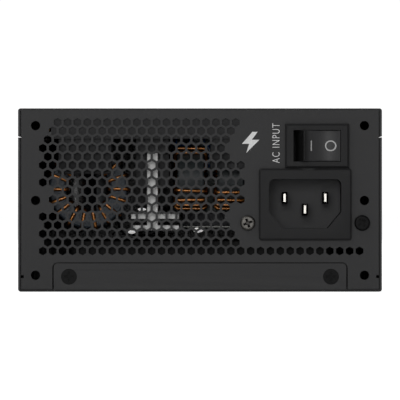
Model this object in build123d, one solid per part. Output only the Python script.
from build123d import *
import math
import os

# A small-form-factor computer power supply: a folded steel case, 125 x 100 x 63 mm, that holds
# the mains inlet and rocker switch on its perforated rear panel, the output sockets on its
# front panel, a 92 mm fan in its floor and a circuit board hung from its roof.
#
# Frame: X across the rear panel, Y from the rear panel to the sockets, Z up.  Everything is
# drawn with the rear panel's outer face at Y = 0.  The whole supply is then centred, so that its
# origin is the middle of its overall size at floor level.

# ---------------------------------------------------------------- driving dimensions, mm
WIDTH = 125.0
DEPTH = 100.0
HEIGHT = 63.0
SHEET = 0.8                       # case steel
BEND = 0.9                        # outside radius of a folded edge
SEAM = 0.25                       # open seam between two folded walls
SPLIT_Z = 53.2                    # height of the joint between the two case halves
SPLIT_GAP = 0.4

MOUNT_X = 56.5                    # the six tapped mounting holes of the rear panel
MOUNT_Z = (5.65, 31.35, 57.05)
MOUNT_R = 1.6
COLLAR_R = 2.6
COLLAR_LENGTH = 1.4

FLAP_HALF = 50.3                  # the cover's folded flap on each end panel
FLAP_TOP = 9.7
FLAP_GAP = 0.4
FLAP_CORNER = 1.5
FLAP_SCREW = (45.0, 5.15)
COVER_SCREW_HEAD_R = 2.7
COVER_SCREW_R = 1.4
SINK_RIM = 0.7                    # how far a countersink narrows through the sheet
SCREW_CLEARANCE = 0.05
LIP_LOW = 46.0                    # the roof half's joggled lip, and how far it laps the split
LIP_LAP = 2.4

VENT_PITCH = 3.4                  # hexagonal perforation
VENT_FLATS = 2.6
VENT_ORIGIN = (-54.0, 14.0)
VENT_ROWS = 16
VENT_RIGHT = 14.4                 # last column beside the mains fittings
VENT_RIGHT_LOW = 55.0             # the bottom row runs the whole width

EARTH_SCREW = (16.4, 23.6)
BRACKET_SCREW = (55.7, 23.6)
BADGE = (17.3, 51.3)              # printed badge, kept clear of perforation

INLET = (36.1, 30.0)              # mains inlet centre
INLET_FLANGE = (31.8, 24.6, 2.0)
INLET_BODY = (27.0, 19.8, 17.0)
INLET_WELL = (24.8, 16.9, 15.0)
PIN_SPACING = 14.0
PIN_SIZE = (2.0, 4.0)

SWITCH = (40.2, 50.1)             # rocker switch centre
SWITCH_FLANGE = (22.0, 15.2, 1.8)
SWITCH_BODY = (18.8, 12.6, 12.9)
SWITCH_WELL = (16.2, 10.8, 11.7)
THROW = 14.0                      # degrees each side of level
ROCKER_HALF = 6.45
ROCKER_RISE = 7.0                 # the rocker's end edges above its pivot
ROCKER_DISH = 9.8                 # radius of the hollow thumb face
ROCKER_WIDTH = 10.5
PIVOT_DEPTH = 3.4
PIVOT_R = 1.5
ARM_DEPTH = PIVOT_DEPTH + 5.3
ARM_RATIO = -0.5

FAN_SIDE = 92.0
FAN_HEIGHT = 15.0
FAN_HOLE = 41.25                  # half of the fan's screw spacing
FAN_SCREW_HEAD_R = 3.4
FAN_SCREW_R = 2.1
FAN_FLOOR = 2.3
FAN_TOP = FAN_FLOOR + FAN_HEIGHT
FAN_Y = DEPTH / 2
DUCT_R = 44.3
HUB_R = 18.5
BLADE_TIP_R = 42.9
BLADES = 9
APERTURE_R = 43.5
WIRE = 1.0
WELD = 0.02                        # hair left between a guard ring and the spokes it is welded to
GUARD_RINGS = (6.0, 15.0, 24.2, 33.3, 42.2)
EYE_R = 3.3                        # wire eye round each fan screw

BOARD_Z = (53.4, 55.0)            # main board, components hang below it
BOARD_Y = (2.6, 86.0)
BOARD_HALF = 59.0
STANDOFFS = ((-54.0, 34.0), (54.0, 34.0), (-54.0, 82.0), (54.0, 82.0))
ROOF = HEIGHT - SHEET
SOCKET_BOARD_Y = (88.0, 89.6)
SOCKET_PROUD = 0.8
PITCH = 4.2                       # contact pitch of the output sockets
COMPACT_PITCH = 3.0
SOCKET_ROWS = (
    (49.0, (("long", 9), ("long", 5), ("eight", 4), ("eight", 4))),
    (29.5, (("eight", 4), ("eight", 4), ("compact", 6), ("six", 3), ("six", 3), ("six", 3))),
)
SOCKET_SPAN = 108.0

BOOST_CHOKE = (-38.8, 20.0, 35.3)   # big toroid, axis along Y
BOOST_RING = (13.5, 7.8, 11.2)      # outer radius, inner radius and width of its core
LINE_CHOKES = ((-3.25, 24.0, 39.1), (10.7, 24.0, 39.1))   # small toroids, axis along X
LINE_RING = (10.0, 5.2, 9.4)
TRANSFORMER = (8.5, 62.0, 22.3, 51.0)   # middle in X and Y, underside and top
STEM_X = (-18.35, -14.43)
FIN_X = (-23.8, -7.1)
SINK_Y = (5.0, 64.0)

LABEL = 0.1
EARTH_END = (19.6, 7.0)           # where the earth lug's barrel ends, X and Y
LEAD = 2.0                        # mains lead diameter
FAN_LEAD = 1.8

# The raised end of the rocker and the socket rims are the rearmost and foremost points.
THROW_RAD = math.radians(THROW)
REAR_PROUD = ROCKER_HALF * math.sin(THROW_RAD) + ROCKER_RISE * math.cos(THROW_RAD) - PIVOT_DEPTH
CENTRING = Pos(0, (REAR_PROUD - SOCKET_PROUD - DEPTH) / 2, 0)


# ---------------------------------------------------------------- small helpers
def block(x, y, z):
    """A box between (low, high) pairs."""
    return Pos(sum(x) / 2, sum(y) / 2, sum(z) / 2) * Box(x[1] - x[0], y[1] - y[0], z[1] - z[0])


def rod_x(r, x, y, z):
    return Pos(sum(x) / 2, y, z) * Rot(0, 90, 0) * Cylinder(r, x[1] - x[0])


def rod_y(r, x, y, z):
    return Pos(x, sum(y) / 2, z) * Rot(90, 0, 0) * Cylinder(r, y[1] - y[0])


def rod_z(r, x, y, z):
    return Pos(x, y, sum(z) / 2) * Cylinder(r, z[1] - z[0])


def plate_y(outline, y):
    """A flat outline drawn in X and Z, at its place, given thickness between two Y values."""
    face = Plane(origin=(0, y[1], 0), x_dir=(1, 0, 0), z_dir=(0, -1, 0)) * outline
    return extrude(face, y[1] - y[0])


def group(pieces):
    return Compound(children=list(pieces))


def fuse(pieces):
    pieces = list(pieces)
    return pieces[0].fuse(*pieces[1:]) if len(pieces) > 1 else pieces[0]


def save(name, shape):
    export_step(CENTRING * shape, os.path.join("parts", name + ".step"))


def lead(points, diameter, ease=0.45):
    """A round lead along straight runs joined by arcs as large as the runs allow."""
    points = [Vector(p) for p in points]
    radii = []
    for a, b, c in zip(points, points[1:], points[2:]):
        turn = math.radians((b - a).get_angle(c - b))
        radii.append(ease * min((b - a).length, (c - b).length) / math.tan(turn / 2))
    path = FilletPolyline(*points, radius=radii)
    section = Plane(origin=path @ 0, z_dir=path % 0) * Circle(diameter / 2)
    print("lead radii", [round(r, 1) for r in radii], "length", round(path.length, 1))
    return sweep(section, path=path)


# ---------------------------------------------------------------- case
def vent_points():
    """Centres of the hexagonal vents: a triangular lattice, kept clear of fasteners and badge."""
    rise = VENT_PITCH * math.sin(math.radians(60))
    clear = [((side * MOUNT_X, z), 5.5) for side in (-1, 1) for z in MOUNT_Z]
    clear += [(EARTH_SCREW, 6.8), (BADGE, 7.5)]
    points = []
    for row in range(VENT_ROWS):
        z = VENT_ORIGIN[1] + row * rise
        x = VENT_ORIGIN[0] + (row % 2) * VENT_PITCH / 2
        right = VENT_RIGHT if row else VENT_RIGHT_LOW
        while x <= right:
            if all(math.dist((x, z), centre) > r for centre, r in clear):
                points.append((x, z))
            x += VENT_PITCH
    return points


def case_skin(low, high, edges):
    """The five-sided outer skin of one case half, with its folded edges rounded."""
    outer = block((-WIDTH / 2, WIDTH / 2), (0, DEPTH), (low, high))
    return fillet(outer.edges().group_by(Axis.Z)[edges], BEND)


def socket_layout():
    """(kind, columns, pitch, centre x, centre z, width, height) of every output socket."""
    sockets = []
    for z, row in SOCKET_ROWS:
        pitches = [COMPACT_PITCH if kind == "compact" else PITCH for kind, _ in row]
        widths = [columns * p + 1.2 for (_, columns), p in zip(row, pitches)]
        space = (SOCKET_SPAN - sum(widths)) / (len(row) - 1)
        x = -SOCKET_SPAN / 2
        for (kind, columns), p, w in zip(row, pitches, widths):
            sockets.append((kind, columns, p, x + w / 2, z, w, 2 * p + 1.2))
            x += w + space
    return sockets


def flap_outline(grow, radius):
    """The flap's outline in X and Z, reaching below the floor so that only its top corners round."""
    half, top = FLAP_HALF + grow, FLAP_TOP + grow
    return RectangleRounded(2 * half, 2 * top, radius)


def chassis():
    inside = WIDTH / 2 - SHEET
    shell = case_skin(0, HEIGHT, -1)
    shell -= block((-inside, inside), (SHEET, DEPTH - SHEET), (-1, ROOF))
    floor_gap = SHEET + 0.12
    shell -= block((-WIDTH, WIDTH), (-1, DEPTH + 1), (-1, floor_gap))
    for side in (-1, 1):
        wall = sorted((side * inside, side * (WIDTH / 2 + 1)))
        shell -= block(wall, (-1, DEPTH + 1), (0, SPLIT_Z + SPLIT_GAP / 2))
        seam = sorted((side * (inside - SEAM), side * inside))
        for y in ((-1, SHEET + 0.01), (DEPTH - SHEET - 0.01, DEPTH + 1)):
            shell -= block(seam, y, (-1, ROOF))
        notch = sorted((side * (inside - SEAM - 0.9), side * inside))
        shell -= block(notch, (-1, SHEET + 0.01), (4.7, 5.7))
        # The joggled lip that slides inside the other half's wall.
        lip = sorted((side * (inside - 0.15 - SHEET), side * (inside - 0.15)))
        bridge = sorted((side * (inside - 0.15 - SHEET), side * (inside + 0.2)))
        shell += block(lip, (4, DEPTH - 4), (LIP_LOW, SPLIT_Z + LIP_LAP))
        shell += block(bridge, (4, DEPTH - 4), (SPLIT_Z + LIP_LAP / 2, SPLIT_Z + LIP_LAP))
    for y, inward in ((0, 1), (DEPTH, -1)):
        # Notch for the cover's flap, and the set-back tab that takes the flap's screws.
        skin = sorted((y - inward, y + inward * (SHEET + 0.01)))
        shell -= plate_y(flap_outline(FLAP_GAP, FLAP_CORNER + FLAP_GAP), skin)
        back = sorted((y + inward * (SHEET + 0.1), y + inward * (2 * SHEET + 0.1)))
        join = sorted((y + inward * SHEET * 0.5, y + inward * (2 * SHEET + 0.1)))
        shell += block((-FLAP_HALF, FLAP_HALF), back, (floor_gap + 0.2, FLAP_TOP + 2.0))
        shell += block((-FLAP_HALF, FLAP_HALF), join, (FLAP_TOP + FLAP_GAP, FLAP_TOP + 2.0))
        for side in (-1, 1):
            hole = sorted((y, y + inward * 4))
            shell -= rod_y(COVER_SCREW_R, side * FLAP_SCREW[0], hole, FLAP_SCREW[1])
    # Tapped mounting holes, drawn into a short collar behind the panel.
    for side in (-1, 1):
        for z in MOUNT_Z:
            shell += rod_y(COLLAR_R, side * MOUNT_X, (SHEET / 2, SHEET + COLLAR_LENGTH), z)
            shell -= rod_y(MOUNT_R, side * MOUNT_X, (-1, SHEET + COLLAR_LENGTH + 1), z)
    # Rear panel openings.
    cut = (-1, SHEET + 0.5)
    shell -= block((INLET[0] - 13.6, INLET[0] + 13.6), cut, (INLET[1] - 10.0, INLET[1] + 10.0))
    half = (SWITCH_BODY[0] / 2 + 0.15, SWITCH_BODY[1] / 2 + 0.15)
    shell -= block((SWITCH[0] - half[0], SWITCH[0] + half[0]), cut,
                   (SWITCH[1] - half[1], SWITCH[1] + half[1]))
    for x, z in (EARTH_SCREW, BRACKET_SCREW):
        shell -= rod_y(1.5, x, cut, z)
    hexagon = RegularPolygon(VENT_FLATS / 2, 6, major_radius=False, rotation=30)
    vents = [Pos(x, z) * hexagon for x, z in vent_points()]
    shell -= plate_y(Sketch() + vents, cut)
    # Front panel openings, each with a notch for the socket's latch ramp.
    cut = (DEPTH - SHEET - 0.5, DEPTH + 1)
    for _, _, _, x, z, w, h in socket_layout():
        shell -= block((x - w / 2 - 0.2, x + w / 2 + 0.2), cut, (z - h / 2 - 0.2, z + h / 2 + 0.2))
        shell -= block((x - 2.2, x + 2.2), cut, (z + h / 2, z + h / 2 + 2.2))
    return shell


def fan_cover():
    inside = WIDTH / 2 - SHEET
    shell = case_skin(0, HEIGHT, 0)
    shell -= block((-inside, inside), (SHEET, DEPTH - SHEET), (SHEET, HEIGHT + 1))
    shell -= block((-WIDTH, WIDTH), (-1, DEPTH + 1), (SPLIT_Z - SPLIT_GAP / 2, HEIGHT + 1))
    flap = plate_y(flap_outline(0, FLAP_CORNER), (-1, DEPTH + 1))
    for y in ((-1, SHEET), (DEPTH - SHEET, DEPTH + 1)):
        end = block((-inside, inside), y, (SHEET, HEIGHT))
        shell -= end - flap
    shell -= rod_z(APERTURE_R, 0, FAN_Y, (-1, SHEET + 1))
    for sx in (-1, 1):
        for y in (-1, DEPTH + 1):
            start = 0 if y < 0 else DEPTH
            inward = 1 if y < 0 else -1
            sink = Pos(sx * FLAP_SCREW[0], start, FLAP_SCREW[1]) * Rot(90 * inward, 0, 0)
            rim = COVER_SCREW_HEAD_R + SCREW_CLEARANCE
            shell -= sink * Pos(0, 0, -SHEET / 2) * Cone(rim - SINK_RIM, rim, SHEET)
        for sy in (-1, 1):
            place = Pos(sx * FAN_HOLE, FAN_Y + sy * FAN_HOLE, SHEET / 2)
            rim = FAN_SCREW_HEAD_R + SCREW_CLEARANCE
            shell -= place * Cone(rim, rim - SINK_RIM, SHEET)
    return shell


def cross_recess(across, depth):
    """A tapered cross for a driver, opening along +Z at Z = 0."""
    wing = Pos(0, 0, -depth / 2) * Box(across, across * 0.24, depth)
    return (wing + Rot(0, 0, 90) * wing) + Pos(0, 0, -depth / 2) * Rot(0, 0, 45) * Box(
        across * 0.42, across * 0.42, depth)


def flat_screw(head_r, shank_r, length, head=SHEET):
    """A countersunk screw, head face at Z = 0 and shank going down."""
    body = Pos(0, 0, -head / 2) * Cone(head_r - SINK_RIM - SCREW_CLEARANCE, head_r, head)
    body += Pos(0, 0, -(head + length) / 2) * Cylinder(shank_r, length - head)
    return body - cross_recess(head_r * 1.25, 0.55)


def pan_screw(head_r, head, shank_r, length):
    """A pan-head screw, the head's seat at Z = 0 and shank going down."""
    body = Pos(0, 0, head / 2) * Cylinder(head_r, head)
    body = fillet(body.edges().group_by(Axis.Z)[-1], head * 0.55)
    body += Pos(0, 0, -length / 2) * Cylinder(shank_r, length)
    return body - Pos(0, 0, head) * cross_recess(head_r * 1.2, head * 0.6)


def case_screws():
    """Four flush screws in the cover's flaps and the pan-head screw of the inlet bracket."""
    flush = flat_screw(COVER_SCREW_HEAD_R, COVER_SCREW_R - SCREW_CLEARANCE, 3.6)
    x, z = FLAP_SCREW
    rear = [Pos(side * x, 0, z) * Rot(90, 0, 0) * flush for side in (-1, 1)]
    front = [Pos(side * x, DEPTH, z) * Rot(-90, 0, 0) * flush for side in (-1, 1)]
    bracket = Pos(BRACKET_SCREW[0], 0, BRACKET_SCREW[1]) * Rot(90, 0, 0)
    return group(rear + front + [bracket * Rot(0, 0, 35) * pan_screw(2.7, 1.3, 1.4, 4.5)])


def earth_screw():
    place = Pos(EARTH_SCREW[0], 0, EARTH_SCREW[1]) * Rot(90, 0, 0) * Rot(0, 0, 20)
    return place * pan_screw(2.6, 1.5, 1.45, 6)


def insulation_sheet():
    """Insulating film against the roof, folded down behind the rear panel."""
    sheet = block((-51.2, 51.2), (1.1, 86), (ROOF - 0.4, ROOF))
    lip = block((-51.2, 20), (1.1, 1.5), (52.6, ROOF))
    return sheet + lip


def rating_label():
    return block((-46, 46), (22, 78), (HEIGHT, HEIGHT + LABEL))


# ---------------------------------------------------------------- fan
def corner_points():
    return [(sx * FAN_HOLE, FAN_Y + sy * FAN_HOLE) for sx in (-1, 1) for sy in (-1, 1)]


def fan_guard():
    """Wire rings in the cover's round opening, welded under four spokes that end in screw eyes."""
    ring_z = 0.2 + WIRE / 2
    spoke_z = ring_z + WIRE + WELD
    wires = [Pos(0, FAN_Y, ring_z) * Torus(r, WIRE / 2) for r in GUARD_RINGS]
    reach = FAN_HOLE * math.sqrt(2) - EYE_R
    spoke = rod_x(WIRE / 2, (GUARD_RINGS[0], reach), 0, 0) + Pos(reach + EYE_R, 0, 0) * Torus(EYE_R, WIRE / 2)
    wires += [Pos(0, FAN_Y, spoke_z) * Rot(0, 0, 45 + 90 * k) * spoke for k in range(4)]
    return group(wires)


def fan_screws():
    screw = flat_screw(FAN_SCREW_HEAD_R, FAN_SCREW_R, 10.5)
    return group(Pos(x, y, 0) * Rot(180, 0, 0) * screw for x, y in corner_points())


def fan_frame():
    """Square housing with its duct, and the motor base carried on four struts."""
    body = Pos(0, FAN_Y, FAN_FLOOR + FAN_HEIGHT / 2) * Box(FAN_SIDE, FAN_SIDE, FAN_HEIGHT)
    body = fillet(body.edges().filter_by(Axis.Z), 4)
    body -= rod_z(DUCT_R, 0, FAN_Y, (0, 30))
    for x, y in corner_points():
        body -= rod_z(FAN_SCREW_R + SCREW_CLEARANCE, x, y, (0, 30))
    base_z = (FAN_TOP - 2, FAN_TOP)
    body += rod_z(17, 0, FAN_Y, base_z)
    for k in range(4):
        turn = Pos(0, FAN_Y, 0) * Rot(0, 0, 25 + 90 * k)
        body += turn * block((15, DUCT_R + 0.8), (-1.6, 1.6), base_z)
    body += rod_z(3.6, 0, FAN_Y, (6.8, base_z[0] + 0.5))
    body -= rod_z(2.6, 0, FAN_Y, (5, FAN_TOP - 0.8))
    return body + block((-15.5, -12), (FAN_Y - 2, FAN_Y + 2), (FAN_TOP - 0.5, FAN_TOP + 2.2))


def blade_section(radius, span, low, high, camber, thick):
    """A thin cambered blade section at one radius, on a plane square to that radius."""
    start, end = (-span / 2, low), (span / 2, high)
    middle = (low + high) / 2 + camber
    back = ThreePointArc(start, (0, middle + thick / 2), end)
    belly = ThreePointArc(end, (0, middle - thick / 2), start)
    plane = Plane(origin=(radius, 0, 0), x_dir=(0, 1, 0), z_dir=(1, 0, 0))
    return plane * make_face([back, belly])


def fan_impeller():
    hub = rod_z(HUB_R, 0, 0, (3.4, 14.4))
    hub = fillet(hub.edges().group_by(Axis.Z)[0], 0.8)
    hub -= rod_z(HUB_R - 1.4, 0, 0, (4.7, 15))
    hub += rod_z(3.2, 0, 0, (4.5, 6.4))
    hub -= rod_z(1.52, 0, 0, (4.8, 7))
    root = blade_section(HUB_R - 0.9, 11, 4.2, 13.8, 1.0, 1.7)
    tip = blade_section(BLADE_TIP_R + 1.5, 24, 4.6, 13.4, 1.6, 1.3)
    blade = loft([root, tip]) & rod_z(BLADE_TIP_R, 0, 0, (3.4, 14.4))
    blades = [Rot(0, 0, 360 * k / BLADES) * blade for k in range(BLADES)]
    return Pos(0, FAN_Y, 0) * fuse([hub] + blades)


def fan_magnet():
    return rod_z(17.05, 0, FAN_Y, (4.8, 12.8)) - rod_z(15.4, 0, FAN_Y, (4, 13))


def fan_shaft():
    return rod_z(1.5, 0, FAN_Y, (4.8, 15.6))


def fan_bearing():
    return rod_z(2.6, 0, FAN_Y, (7, 15.8)) - rod_z(1.56, 0, FAN_Y, (6, 17))


def fan_core():
    """Laminated four-pole stator."""
    ring = rod_z(6.6, 0, 0, (7, 12.5))
    rim = rod_z(14.6, 0, 0, (7, 12.5)) - rod_z(13, 0, 0, (6, 13))
    gaps = block((-20, 20), (-2, 2), (6, 13)) + block((-2, 2), (-20, 20), (6, 13))
    rim -= Rot(0, 0, 45) * gaps
    arms = block((-13.6, 13.6), (-1.8, 1.8), (7, 12.5)) + block((-1.8, 1.8), (-13.6, 13.6), (7, 12.5))
    return Pos(0, FAN_Y, 0) * (ring + arms + rim - rod_z(3.65, 0, 0, (6, 13)))


def fan_coils():
    coil = block((7.2, 12.2), (-3.9, 3.9), (6.5, 13.0)) - block((7, 13), (-1.85, 1.85), (6.95, 12.55))
    coil = fillet(coil.edges().filter_by(Axis.X).group_by(Axis.Z)[-1], 1.0)
    return Pos(0, FAN_Y, 0) * group(Rot(0, 0, 90 * k) * coil for k in range(4))


def fan_board():
    return rod_z(14, 0, FAN_Y, (14.3, 15.3)) - rod_z(3.65, 0, FAN_Y, (14, 16))


def fan_lead():
    z = FAN_TOP + 1.1
    return lead([(-15.5, FAN_Y, z), (-28.5, FAN_Y, z), (-28.5, FAN_Y, 46)], FAN_LEAD)


def fan_plug():
    return block((-31, -26), (FAN_Y - 3.2, FAN_Y + 3.2), (46, BOARD_Z[0]))


# ---------------------------------------------------------------- mains inlet
def inlet_contacts():
    """(x, z) of live, neutral and earth contacts."""
    x, z = INLET
    return [(x - PIN_SPACING / 2, z + 2.25), (x + PIN_SPACING / 2, z + 2.25), (x, z - 1.75)]


def inlet_pins():
    pins = []
    for x, z in inlet_contacts():
        w, h = PIN_SIZE
        pin = block((x - w / 2, x + w / 2), (1.6, 17), (z - h / 2, z + h / 2))
        pin = chamfer(pin.edges().group_by(Axis.Y)[0], 0.6)
        pins.append(pin + block((x - 0.4, x + 0.4), (16.5, 24), (z - h / 2, z + h / 2)))
    return group(pins)


def inlet_well():
    """The socket well: rounded upper corners, lower corners cut away."""
    w, h = INLET_WELL[0] / 2, INLET_WELL[1] / 2
    outline = Polyline((-w, h), (w, h), (w, 5.5 - h), (w - 4.6, -h), (4.6 - w, -h), (-w, 5.5 - h),
                       close=True)
    face = make_face(outline)
    face = fillet(face.vertices().group_by(Axis.Y)[-1], 2.0)
    lip = -INLET_FLANGE[2]
    return plate_y(Pos(INLET[0], INLET[1] + 0.25) * face, (lip - 1, lip + INLET_WELL[2]))


def inlet_housing():
    x, z = INLET
    w, h, thick = INLET_FLANGE
    flange = block((x - w / 2, x + w / 2), (-thick, 0), (z - h / 2, z + h / 2))
    flange = fillet(flange.edges().filter_by(Axis.Y), 1.0)
    flange = chamfer(flange.edges().group_by(Axis.Y)[0], 0.6)
    notch_r = 9.1
    flange -= rod_y(notch_r, x + 1.1, (-thick - 1, 1), z + h / 2 - 0.6 + notch_r)
    w, h, deep = INLET_BODY
    body = block((x - w / 2, x + w / 2), (-0.5, deep), (z - h / 2, z + h / 2))
    body = fillet(body.edges().filter_by(Axis.Y), 1.5)
    return flange + body - inlet_well() - inlet_pins()


def inlet_bracket():
    """Steel strap round the inlet with an ear at each side, screwed to the rear panel."""
    left, right, back = INLET[0] - 14.7, INLET[0] + 14.7, INLET_BODY[2] + 0.2
    t, low, high = SHEET, 20.4, 25.2
    strap = block((left, left + t), (t, back + t), (low, high))
    strap += block((right - t, right), (t, back + t), (low, high))
    strap += block((left, right), (back, back + t), (low, high))
    for ear, screw in (((12.6, left + t), EARTH_SCREW), ((right - t, 58.5), BRACKET_SCREW)):
        strap += block(ear, (t, 2 * t), (19.8, 27.4))
        strap -= rod_y(1.5, screw[0], (0, 3), screw[1])
    return strap


def lead_lug():
    """Ring terminal under the earth screw, with its crimp barrel bent inward."""
    x, z = EARTH_SCREW
    y = (2 * SHEET, 2 * SHEET + 0.6)
    ring = rod_y(3.0, x, y, z) + block((x, EARTH_END[0]), y, (z - 1.5, z + 1.5))
    ring -= rod_y(1.6, x, (0, 4), z)
    barrel = rod_y(1.5, EARTH_END[0], (y[0], EARTH_END[1]), z)
    return ring + barrel - rod_y(1.02, EARTH_END[0], (y[1], EARTH_END[1] + 1), z)


# ---------------------------------------------------------------- rocker switch
SWITCH_PLACE = Pos(SWITCH[0], PIVOT_DEPTH, SWITCH[1])
ARM_PLACE = Pos(SWITCH[0], ARM_DEPTH, SWITCH[1])


def switch_housing():
    x, z = SWITCH
    w, h, thick = SWITCH_FLANGE
    flange = block((x - w / 2, x + w / 2), (-thick, 0), (z - h / 2, z + h / 2))
    flange = chamfer(flange.edges().group_by(Axis.Y)[0], 0.7)
    w, h, deep = SWITCH_BODY
    body = flange + block((x - w / 2, x + w / 2), (-0.5, deep), (z - h / 2, z + h / 2))
    for side in (-1, 1):
        edge = sorted((x + side * (w / 2 - 0.5), x + side * (w / 2 + 0.8)))
        wing = block(edge, (1.0, 5.5), (z - 3, z + 3))
        body += wing
    w, h, deep = SWITCH_WELL
    body -= block((x - w / 2, x + w / 2), (-thick - 1, deep), (z - h / 2, z + h / 2))
    body -= rod_z(PIVOT_R + 0.06, x, PIVOT_DEPTH, (z - 8, z + 8))
    body += rod_y(1.0, x - 3.6, (9.95, deep + 0.2), z)
    return body - switch_terminals()


def switch_terminals():
    """The arm's fulcrum and the switched contact, each with its tab through the floor."""
    x, z = SWITCH
    floor = SWITCH_WELL[2]
    top = ARM_DEPTH + 0.3
    fulcrum = block((x - 0.6, x + 0.6), (top + 0.6, floor), (z - 1.8, z + 1.8))
    fulcrum += rod_z(0.6, x, top + 0.6, (z - 1.8, z + 1.8))
    contact = rod_y(1.0, x + 3.6, (9.95, floor), z)
    tabs = [block((u - 0.4, u + 0.4), (floor - 0.3, 20), (z - 2.4, z + 2.4)) for u in (x, x + 3.6)]
    return group([fulcrum + tabs[0], contact + tabs[1]])


def rocker():
    """Rocker with a hollow thumb face, trunnions and a bore for the plunger, in the off throw."""
    a, rise = ROCKER_HALF, ROCKER_RISE
    dish = rise - ROCKER_DISH + math.sqrt(ROCKER_DISH ** 2 - a ** 2)
    face = ThreePointArc((-a, rise), (0, dish), (a, rise))
    rest = Polyline((a, rise), (7.7, 1.0), (6.9, -1.8), (-6.9, -1.8), (-7.7, 1.0), (-a, rise))
    plane = Plane(origin=(0, 0, ROCKER_WIDTH / 2), x_dir=(1, 0, 0), z_dir=(0, 0, -1))
    body = extrude(plane * make_face([face, rest]), ROCKER_WIDTH)
    body += rod_z(PIVOT_R, 0, 0, (-6.1, 6.1)) + rod_y(2.3, 0, (1.5, 2.8), 0)
    body -= rod_y(1.25, 0, (-3.2, 4), 0)
    return SWITCH_PLACE * Rot(0, 0, THROW) * body


def switch_plunger():
    body = rod_y(1.15, 0, (0.6, 3.65), 0) + Pos(0, 3.65, 0) * Sphere(1.15)
    return SWITCH_PLACE * Rot(0, 0, THROW) * body


def switch_spring():
    path = Helix(pitch=0.8, height=3.2, radius=0.85)
    coil = sweep(Plane(origin=path @ 0, z_dir=path % 0) * Circle(0.15), path=path)
    return SWITCH_PLACE * Rot(0, 0, THROW) * Pos(0, 0.4, 0) * Rot(90, 0, 0) * coil


def contact_arm():
    """See-saw contact arm with a button under each end."""
    body = block((-4.5, 4.5), (-0.25, 0.25), (-2, 2))
    for side in (-1, 1):
        body += rod_y(0.9, side * 3.6, (0.2, 0.65), 0)
    return ARM_PLACE * Rot(0, 0, ARM_RATIO * THROW) * body


# ---------------------------------------------------------------- mains wiring
def tab_boots():
    """Insulating boots over the push-on terminals; each holds the start of a lead."""
    boots = []
    x, z = SWITCH
    ends = [(px, pz, 19, 24.1, 28, 2.0) for px, pz in inlet_contacts()]
    ends += [(x, z, 15, 20.1, 23.5, 2.4), (x + 3.6, z, 15, 20.1, 23.5, 2.4)]
    for px, pz, start, stop, end, half in ends:
        boot = block((px - 1.45, px + 1.45), (start, end), (pz - half - 0.6, pz + half + 0.6))
        boot = fillet(boot.edges().group_by(Axis.Y)[-1], 0.3)
        boot -= block((px - 0.42, px + 0.42), (start - 1, stop), (pz - half, pz + half))
        boots.append(boot - rod_y(1.02, px, (stop - 0.5, end + 1), pz))
    return group(boots)


def live_lead():
    (x, z), (sx, sz) = inlet_contacts()[0], SWITCH
    return lead([(x, 24.1, z), (x, 34, z), (sx, 34, sz), (sx, 20.1, sz)], LEAD)


def switched_lead():
    x, z = SWITCH[0] + 3.6, SWITCH[1]
    return lead([(x, 20.1, z), (x, 30.5, z), (x, 30.5, BOARD_Z[0])], LEAD)


def neutral_lead():
    x, z = inlet_contacts()[1]
    return lead([(x, 24.1, z), (x, 37, z), (x, 37, BOARD_Z[0])], LEAD)


def earth_lead():
    x, z = inlet_contacts()[2]
    ex, ey = EARTH_END
    ez = EARTH_SCREW[1]
    return lead([(x, 24.1, z), (x, 31, z), (ex, 31, z), (ex, 15, ez), (ex, ey - 3, ez)], LEAD)


# ---------------------------------------------------------------- main board
def main_board():
    board = block((-BOARD_HALF, BOARD_HALF), BOARD_Y, BOARD_Z)
    board -= block((25, BOARD_HALF + 1), (0, 24), (50, 60))
    for x, y in STANDOFFS:
        board -= rod_z(1.6, x, y, (50, 60))
    return board


def board_standoffs():
    posts = []
    for x, y in STANDOFFS:
        post = Pos(x, y, BOARD_Z[1]) * extrude(RegularPolygon(2.5, 6), ROOF - BOARD_Z[1])
        posts.append(post - rod_z(1.45, x, y, (BOARD_Z[1] - 1, ROOF - 1)))
    return group(posts)


def board_screws():
    screw = Rot(180, 0, 0) * pan_screw(2.7, 1.4, 1.4, 6.5)
    return group(Pos(x, y, BOARD_Z[0]) * screw for x, y in STANDOFFS)


def soft_box(x, y, z, r):
    """A moulded box with every edge rounded but those on its top face."""
    body = block(x, y, z)
    edges = body.edges().group_by(Axis.Z)
    return fillet(edges[0] + edges[1], r)


def film_capacitors():
    top = BOARD_Z[0]
    return group([soft_box((-48.8, -30.3), (3, 11), (40.4, top), 0.6),
                  soft_box((3.5, 22), (3, 11), (42, top), 0.6)])


def ring(outer, inner, width):
    """A toroid core about Z with rounded edges."""
    body = Cylinder(outer, width) - Cylinder(inner, width + 1)
    return fillet(body.edges().filter_by(GeomType.CIRCLE), 0.8)


def ring_turn(outer, inner, width, wire):
    """One turn of wire round a toroid's section, in the plane of +X and Z."""
    gap = wire / 2 + 0.05
    span, rise = outer - inner + 2 * gap, width + 2 * gap
    frame = Plane(origin=((outer + inner) / 2, 0, 0), x_dir=(1, 0, 0), z_dir=(0, -1, 0))
    path = frame * RectangleRounded(span, rise, 1.2).wire()
    return sweep(Plane(origin=path @ 0, z_dir=path % 0) * Circle(wire / 2), path=path)


def boost_choke_core():
    return Pos(*BOOST_CHOKE) * Rot(90, 0, 0) * ring(*BOOST_RING)


def boost_choke_winding():
    turn = ring_turn(*BOOST_RING, 1.25)
    turns = [Rot(0, 0, 20 * k) * turn for k in range(18)]
    return Pos(*BOOST_CHOKE) * Rot(90, 0, 0) * group(turns)


def line_choke_cores():
    return group(Pos(*place) * Rot(0, 90, 0) * ring(*LINE_RING) for place in LINE_CHOKES)


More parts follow.
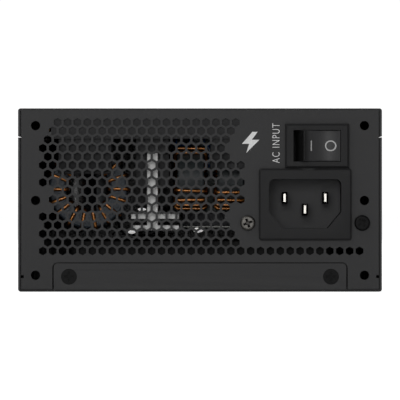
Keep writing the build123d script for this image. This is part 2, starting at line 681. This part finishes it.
def line_choke_windings():
    """Two separate seven-turn windings on each ring, above and below a bare sector."""
    turn = ring_turn(*LINE_RING, 1.25)
    angles = [9 + 19 * k for k in range(7)] + [-41 - 19 * k for k in range(7)]
    # Angle 0 faces the rear panel and angle 90 faces the roof.
    coil = group(Rot(-a, 0, 0) * Rot(0, 0, -90) * Rot(90, 0, 0) * turn for a in angles)
    return group(Pos(*place) * coil for place in LINE_CHOKES)


def heatsink():
    """Extruded aluminium sink: a stem with a double foot of fins."""
    profile = block(STEM_X, SINK_Y, (21, 47.8))
    for z in ((20.9, 22.9), (24.87, 26.87)):
        profile += block(FIN_X, SINK_Y, z)
    return profile


def heatsink_feet():
    ends = ((SINK_Y[0] + 0.5, SINK_Y[0] + 4), (SINK_Y[1] - 4, SINK_Y[1] - 0.5))
    return group(block((-22.06, -10.75), y, (47.8, BOARD_Z[0])) for y in ends)


def flat_device(x, y, z, legs):
    """A flat power device with round legs up to the board."""
    body = chamfer(block(x, y, z).edges().group_by(Axis.Z)[0], 0.5)
    step = (y[1] - y[0]) / (legs + 1)
    for k in range(legs):
        body += rod_z(0.5, sum(x) / 2, y[0] + step * (k + 1), (z[1] - 0.5, BOARD_Z[0]))
    return body


def rectifiers():
    left = flat_device((STEM_X[0] - 3.7, STEM_X[0]), (10, 28), (35.6, 47.6), 4)
    right = flat_device((STEM_X[1], STEM_X[1] + 3.7), (10, 28), (35.6, 47.6), 4)
    return group([left, right])


def power_transistors():
    devices = []
    for start in (32, 45):
        y = (start, start + 10.5)
        devices.append(flat_device((STEM_X[0] - 4.5, STEM_X[0]), y, (29, 44.5), 3))
        devices.append(flat_device((STEM_X[1], STEM_X[1] + 4.5), y, (29, 44.5), 3))
    return group(devices)


def can(r, x, y, low):
    """A can capacitor hung from the board, with the rolled groove near its base."""
    body = rod_z(r, x, y, (low, BOARD_Z[0]))
    body = fillet(body.edges().group_by(Axis.Z)[0], r * 0.12)
    groove = BOARD_Z[0] - 3.5
    return body - (rod_z(r + 1, x, y, (groove - 0.4, groove + 0.4)) - rod_z(r * 0.96, x, y, (0, 60)))


def bulk_capacitors():
    return group(can(11, -44, y, 21.4) for y in (46.5, 70))


def output_capacitors():
    return group(can(4, 31 + 9.2 * i, 58 + 9.5 * j, 38) for i in range(3) for j in range(3))


def transformer_core():
    """Paired ferrite E cores: a frame round a middle leg."""
    x, y, low, high = TRANSFORMER
    body = block((x - 15, x + 15), (y - 6, y + 6), (low, high))
    for side in (-1, 1):
        window = sorted((x + side * 4, x + side * 10.5))
        body -= block(window, (y - 7, y + 7), (low + 5, high - 5))
    return body


def transformer_winding():
    """Taped winding round the middle leg, on the bobbin base that stands on the board."""
    x, y, low, high = TRANSFORMER
    coil = block((x - 10.4, x + 10.4), (y - 12, y + 12), (low + 5.1, high - 5.1))
    coil = fillet(coil.edges().filter_by(Axis.Z), 5)
    coil -= block((x - 4.1, x + 4.1), (y - 6.1, y + 6.1), (low, high))
    base = block((x - 11, x + 11), (y - 12, y + 12), (high, BOARD_Z[0]))
    posts = [block((x - 8, x + 8), (y + s * 9 - 2, y + s * 9 + 2), (high - 6, high)) for s in (-1, 1)]
    return fuse([coil, base] + posts)


def barrier_card():
    """Thin insulating card under the transformer."""
    x, y, low, _ = TRANSFORMER
    return block((-5.8, 10.6), (y - 24, y + 8), (low - 0.4, low))


def disc_capacitors():
    """Lacquered discs behind the line chokes: three capacitors and a surge limiter."""
    discs = []
    for x, r, y in ((-6, 4.2, (39.8, 43)), (4, 4.2, (39.8, 43)), (14, 5.2, (39.4, 43.6))):
        disc = fillet(rod_y(r, x, y, 47).edges(), 1.2)
        for side in (-1, 1):
            disc += rod_z(0.4, x + side * 2.5, sum(y) / 2, (47, BOARD_Z[0]))
        discs.append(disc)
    return group(discs)


def relay():
    return soft_box((28.5, 38), (38.5, 52.5), (37, BOARD_Z[0]), 0.5)


def output_choke():
    """Filter toroid standing flat under the board."""
    x, y = 49, 45
    place = Pos(x, y, 46.5)
    turn = ring_turn(7.2, 3.4, 7.0, 1.2)
    turns = [Rot(0, 0, 30 * k) * turn for k in range(12)]
    legs = [rod_z(0.6, x + u, y - 9.3, (45, BOARD_Z[0])) for u in (-3, 1)]
    return group([place * ring(7.2, 3.4, 7.0)] + [place * t for t in turns] + legs)


def control_board():
    """Upright daughter board with its controller chips."""
    board = block((24.4, 25.6), (54, 80), (27, BOARD_Z[0]))
    chips = [block((23.6, 24.4), (y, y + 6), (z, z + 5)) for y, z in ((57, 33), (57, 43), (68, 38))]
    return fuse([board] + chips)


# ---------------------------------------------------------------- outputs
def socket_board():
    return block((-56, 56), SOCKET_BOARD_Y, (17.6, 60))


def bus_bars():
    """Copper angles that carry the outputs from the main board to the socket board."""
    back = SOCKET_BOARD_Y[0]
    bars = []
    for x in ((25, 32.5), (34, 41.5), (43, 50.5), (2, 18)):
        foot = block(x, (BOARD_Y[1] - 4, back), (BOARD_Z[0] - 1.2, BOARD_Z[0]))
        bars.append(foot + block(x, (back - 1.2, back), (40, BOARD_Z[0])))
    return group(bars)


def socket_cells(columns, pitch):
    """(x, z, squared) of each way of a two-row socket about its own centre."""
    cells = []
    for row in (0, 1):
        for k in range(columns):
            squared = (k + row) % 2 == 0
            cells.append(((k - (columns - 1) / 2) * pitch, (row - 0.5) * pitch, squared))
    return cells


def socket_kind(kind):
    """Every socket housing of one kind: moulded shell, cell for each way, and latch ramp."""
    front = DEPTH + SOCKET_PROUD
    shells = []
    for name, columns, pitch, x, z, w, h in socket_layout():
        if name != kind:
            continue
        shell = block((x - w / 2, x + w / 2), (SOCKET_BOARD_Y[1], front), (z - h / 2, z + h / 2))
        shell += block((x - 2, x + 2), (front - 2.2, front), (z + h / 2 - 0.5, z + h / 2 + 1.9))
        cell = pitch * 0.81
        square = Rectangle(cell, cell)
        cut = chamfer(square.vertices().group_by(Axis.Y)[-1], cell * 0.28)
        outline = [Pos(x + u, z + v) * (square if squared else cut)
                   for u, v, squared in socket_cells(columns, pitch)]
        shells.append(shell - plate_y(Sketch() + outline, (front - 9, front + 1)))
    return group(shells)


def long_sockets():
    return socket_kind("long")


def eight_way_sockets():
    return socket_kind("eight")


def small_sockets():
    return group([socket_kind("six"), socket_kind("compact")])


def socket_pins():
    floor = DEPTH + SOCKET_PROUD - 9
    pins = []
    for _, columns, pitch, x, z, _, _ in socket_layout():
        half = pitch * 0.13
        for u, v, _ in socket_cells(columns, pitch):
            pins.append(block((x + u - half, x + u + half), (floor, floor + 6.5),
                              (z + v - half, z + v + half)))
    return group(pins)


# ---------------------------------------------------------------- write every part
PARTS = (
    chassis, fan_cover, case_screws, earth_screw, insulation_sheet, rating_label,
    fan_guard, fan_screws, fan_frame, fan_impeller, fan_magnet, fan_shaft, fan_bearing,
    fan_core, fan_coils, fan_board, fan_lead, fan_plug,
    inlet_housing, inlet_pins, inlet_bracket, lead_lug,
    switch_housing, switch_terminals, rocker, switch_plunger, switch_spring, contact_arm,
    tab_boots, live_lead, switched_lead, neutral_lead, earth_lead,
    main_board, board_standoffs, board_screws, film_capacitors,
    boost_choke_core, boost_choke_winding, line_choke_cores, line_choke_windings,
    heatsink, heatsink_feet, rectifiers, power_transistors, bulk_capacitors, output_capacitors,
    transformer_core, transformer_winding, barrier_card, disc_capacitors, relay, output_choke,
    control_board, socket_board, bus_bars,
    long_sockets, eight_way_sockets, small_sockets, socket_pins,
)

os.makedirs("parts", exist_ok=True)
for make in PARTS:
    save(make.__name__, make())
